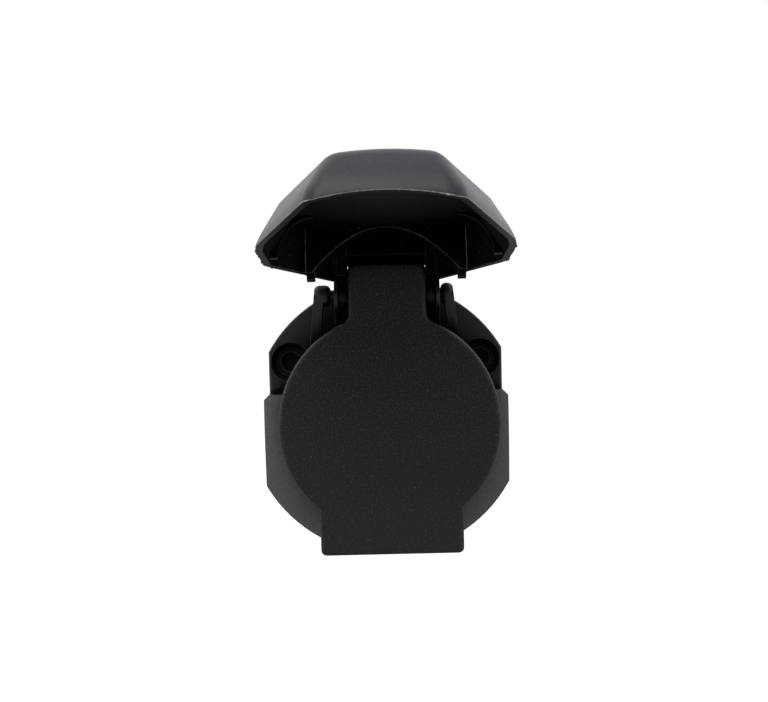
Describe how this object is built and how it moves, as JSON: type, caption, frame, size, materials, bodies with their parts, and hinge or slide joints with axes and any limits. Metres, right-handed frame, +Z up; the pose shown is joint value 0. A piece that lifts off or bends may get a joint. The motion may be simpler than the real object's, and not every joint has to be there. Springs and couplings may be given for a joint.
{
  "type": "towbar socket",
  "caption": "Round flanged trailer socket for a towbar, with a sprung grained lid, and a weather hood thrown open on the same hinge pin.",
  "frame": {"origin": "on the socket's axis, at the rear face of the mounting flange", "axes": "+Z up, +Y from the socket's mouth back through the flange, +X across, along the hinge pin"},
  "size_m": [0.071, 0.1249, 0.1118],
  "materials": {
    "housing_plastic": "smooth satin moulding",
    "lid_plastic": "fine grained moulding",
    "hood_plastic": "satin moulding with ragged flash on its edges",
    "insert_plastic": "smooth",
    "rubber": "matt",
    "steel": "drawn",
    "brass": "turned"
  },
  "bodies": {
    "housing": {"housing": "housing_plastic", "hinge_pin": "steel", "contact_carrier": "insert_plastic", "contact_lock_plate": "insert_plastic", "mounting_gasket": "rubber", "rear_boot": "rubber", "contact_1": "brass", "contact_2": "brass", "contact_3": "brass", "contact_4": "brass", "contact_5": "brass", "contact_6": "brass", "contact_7": "brass", "contact_8": "brass", "contact_9": "brass", "contact_10": "brass", "contact_11": "brass", "contact_12": "brass", "contact_13": "brass"},
    "lid": {"lid": "lid_plastic", "lid_seal": "rubber", "lid_spring": "steel"},
    "hood": {"hood": "hood_plastic"}
  },
  "joints": [
    {"name": "lid_hinge", "type": "hinge", "parent": "housing", "child": "lid", "pos_m": [0, -0.026, 0.0362], "axis": [-1, 0, 0], "range_deg": [0, 90], "stiffness_Nm_per_rad": 0.05, "springref_deg": -45.84},
    {"name": "hood_hinge", "type": "hinge", "parent": "lid", "child": "hood", "pos_m": [0, -0.026, 0.0362], "axis": [-1, 0, 0], "range_deg": [-101.5, 0]}
  ]
}
